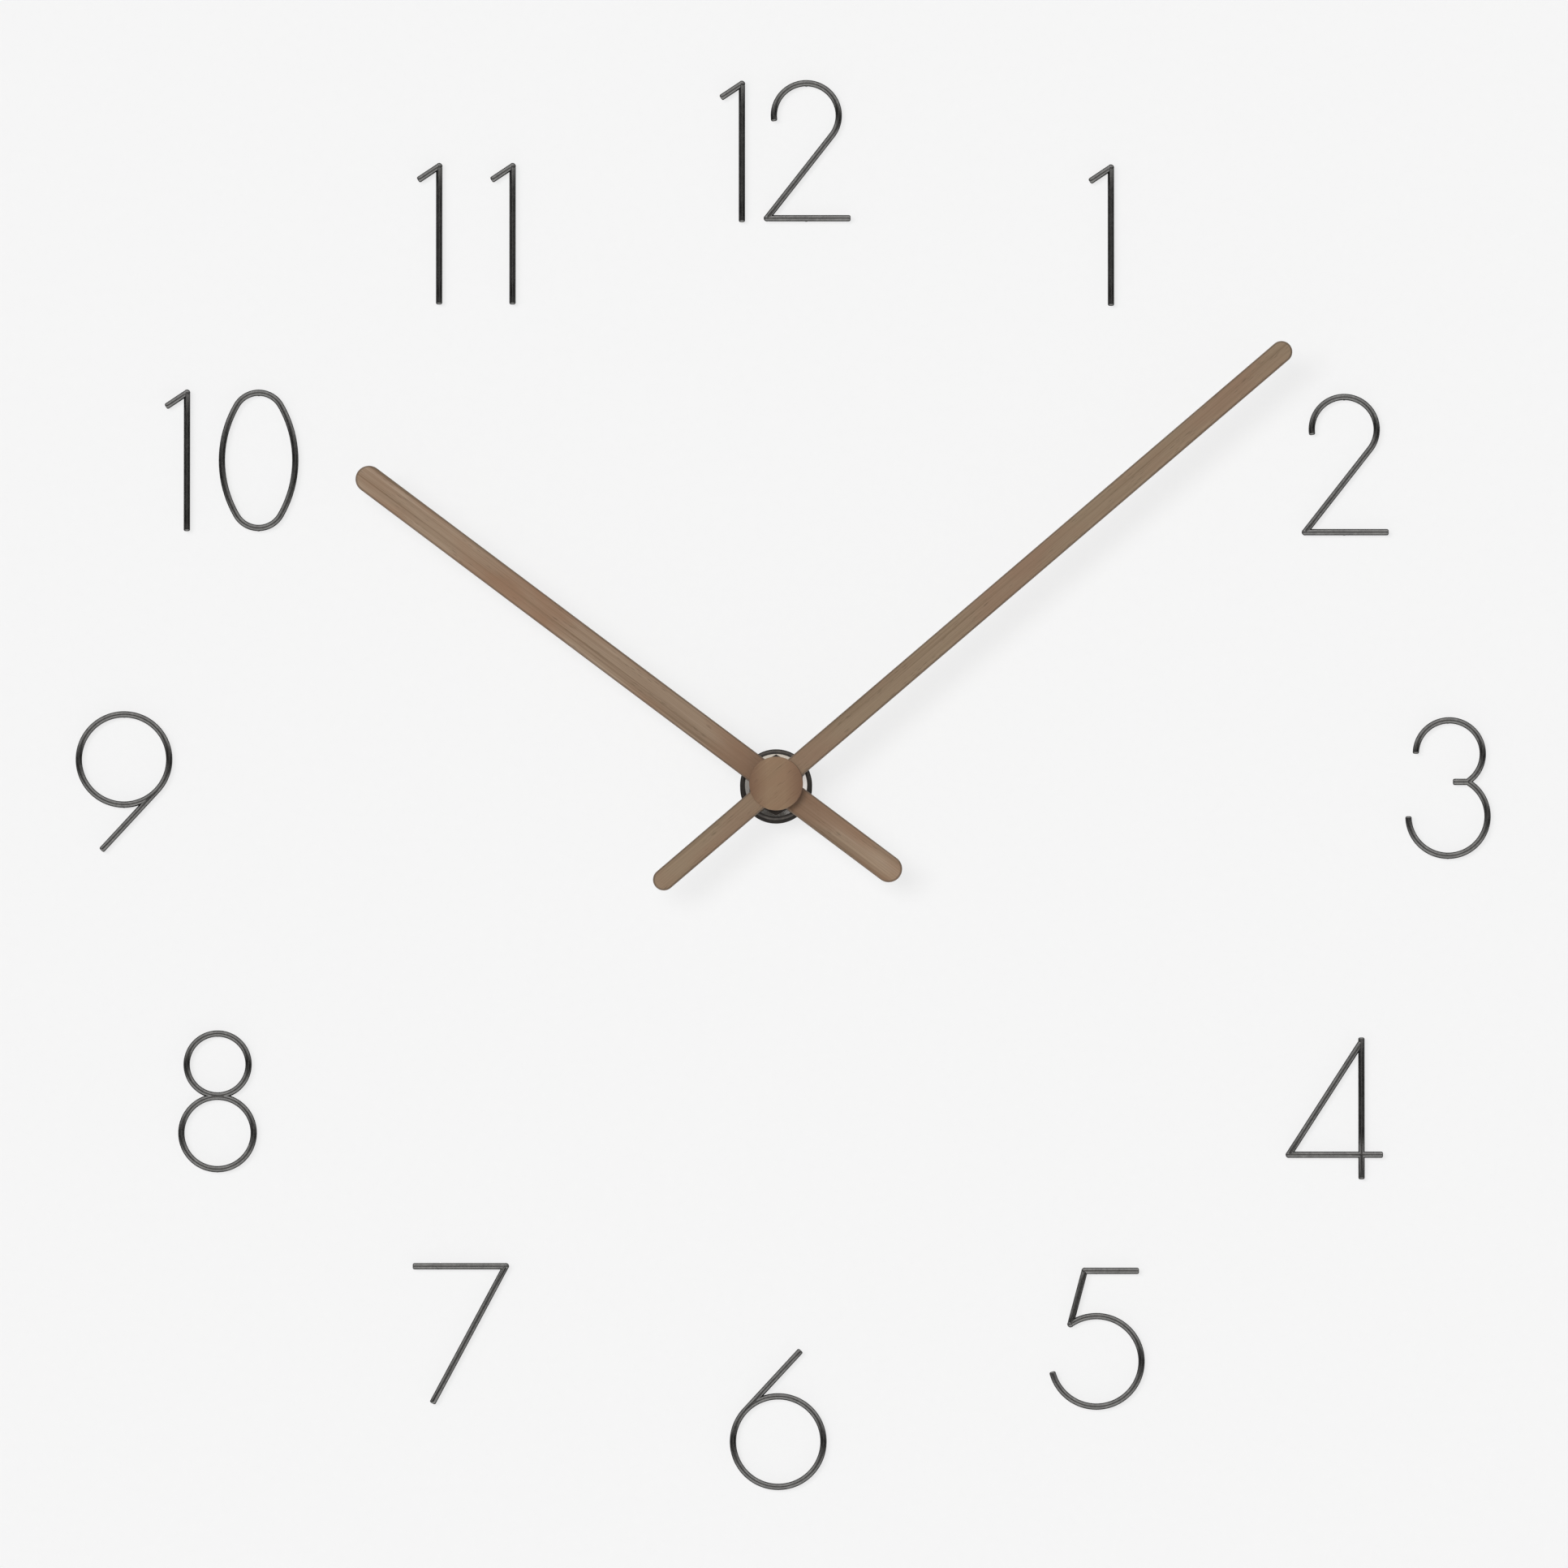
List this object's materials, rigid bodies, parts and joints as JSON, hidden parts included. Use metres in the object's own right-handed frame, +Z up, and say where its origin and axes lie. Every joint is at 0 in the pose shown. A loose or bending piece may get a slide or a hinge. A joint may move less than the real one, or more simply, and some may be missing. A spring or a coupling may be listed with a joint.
{
  "type": "wall clock",
  "caption": "Frameless wall clock with separate bent-rod numerals around a small polished hub that carries two walnut hands over a battery quartz movement.",
  "frame": {"origin": "hub axis on the wall plane, at the middle of the wall plate's back face", "axes": "+Z up, the clock faces -Y, +X to the right as seen from the front; +Y points into the wall"},
  "size_m": [1.0015, 0.0619, 0.9999],
  "materials": {
    "graphite_rod": "polished",
    "graphite_hub": "polished",
    "plated_steel": "satin",
    "black_steel": "satin",
    "brass": "satin",
    "rubber": "matte",
    "dark_plastic": "satin",
    "cell_jacket": "gloss",
    "spring_contact": "satin",
    "circuit_board": "satin",
    "chip_resin": "gloss",
    "soft_iron": "satin",
    "bobbin_plastic": "satin",
    "copper_winding": "gloss",
    "white_plastic": "satin",
    "hour_walnut": "satin",
    "minute_walnut": "satin",
    "bare_steel": "satin"
  },
  "bodies": {
    "clock_base": {"numeral_12_one": "graphite_rod", "numeral_12_two": "graphite_rod", "numeral_1": "graphite_rod", "numeral_2": "graphite_rod", "numeral_3": "graphite_rod", "numeral_4": "graphite_rod", "numeral_5": "graphite_rod", "numeral_6": "graphite_rod", "numeral_7": "graphite_rod", "numeral_8": "graphite_rod", "numeral_9": "graphite_rod", "numeral_10_one": "graphite_rod", "numeral_10_zero": "graphite_rod", "numeral_11_left": "graphite_rod", "numeral_11_right": "graphite_rod", "wall_plate": "plated_steel", "hub_shell": "graphite_hub", "hub_grub_screws": "black_steel", "hex_nut": "brass", "hex_plate": "black_steel", "gasket": "rubber", "centre_bushing": "brass", "movement_cover": "dark_plastic", "movement_base": "dark_plastic", "case_screws": "plated_steel", "battery_cell": "cell_jacket", "contact_positive": "spring_contact", "contact_negative": "spring_contact", "circuit_board": "circuit_board", "quartz_crystal": "plated_steel", "clock_chip": "chip_resin", "stator": "soft_iron", "coil_bobbin": "bobbin_plastic", "coil_winding": "copper_winding"},
    "minute_train": {"centre_wheel": "white_plastic", "minute_arbor": "plated_steel", "minute_hand": "minute_walnut", "minute_hand_bushing": "brass", "minute_hand_counterweight": "bare_steel", "minute_hand_cap": "minute_walnut"},
    "hour_train": {"hour_wheel": "white_plastic", "hour_hand": "hour_walnut", "hour_hand_bushing": "brass", "hour_hand_counterweight": "bare_steel"},
    "motion_work": {"motion_wheel": "white_plastic"},
    "second_work": {"second_wheel": "white_plastic"},
    "rotor": {"rotor_pinion": "white_plastic", "rotor_magnet": "soft_iron"},
    "setting_stem": {"setting_knob": "white_plastic"}
  },
  "joints": [
    {"name": "minute_turn", "type": "hinge", "parent": "clock_base", "child": "minute_train", "pos_m": [0, 0, 0], "axis": [0, 1, 0], "continuous": true},
    {"name": "hour_turn", "type": "hinge", "parent": "clock_base", "child": "hour_train", "pos_m": [0, 0, 0], "axis": [0, 1, 0], "continuous": true},
    {"name": "motion_wheel_turn", "type": "hinge", "parent": "clock_base", "child": "motion_work", "pos_m": [0.0042, 0, 0.00727], "axis": [0, 1, 0], "continuous": true},
    {"name": "second_wheel_turn", "type": "hinge", "parent": "clock_base", "child": "second_work", "pos_m": [-0.0126, 0, 0], "axis": [0, 1, 0], "continuous": true},
    {"name": "rotor_turn", "type": "hinge", "parent": "clock_base", "child": "rotor", "pos_m": [-0.00934, 0, -0.00895], "axis": [0, 1, 0], "continuous": true},
    {"name": "setting_knob_turn", "type": "hinge", "parent": "clock_base", "child": "setting_stem", "pos_m": [0.0084, 0, 0.01455], "axis": [0, 1, 0], "continuous": true}
  ],
  "couplings": [
    {"joint": "hour_turn", "follows": "minute_turn", "ratio": 0.083333},
    {"joint": "motion_wheel_turn", "follows": "minute_turn", "ratio": -0.33333},
    {"joint": "second_wheel_turn", "follows": "minute_turn", "ratio": -8},
    {"joint": "rotor_turn", "follows": "minute_turn", "ratio": 60},
    {"joint": "setting_knob_turn", "follows": "minute_turn", "ratio": 1}
  ]
}
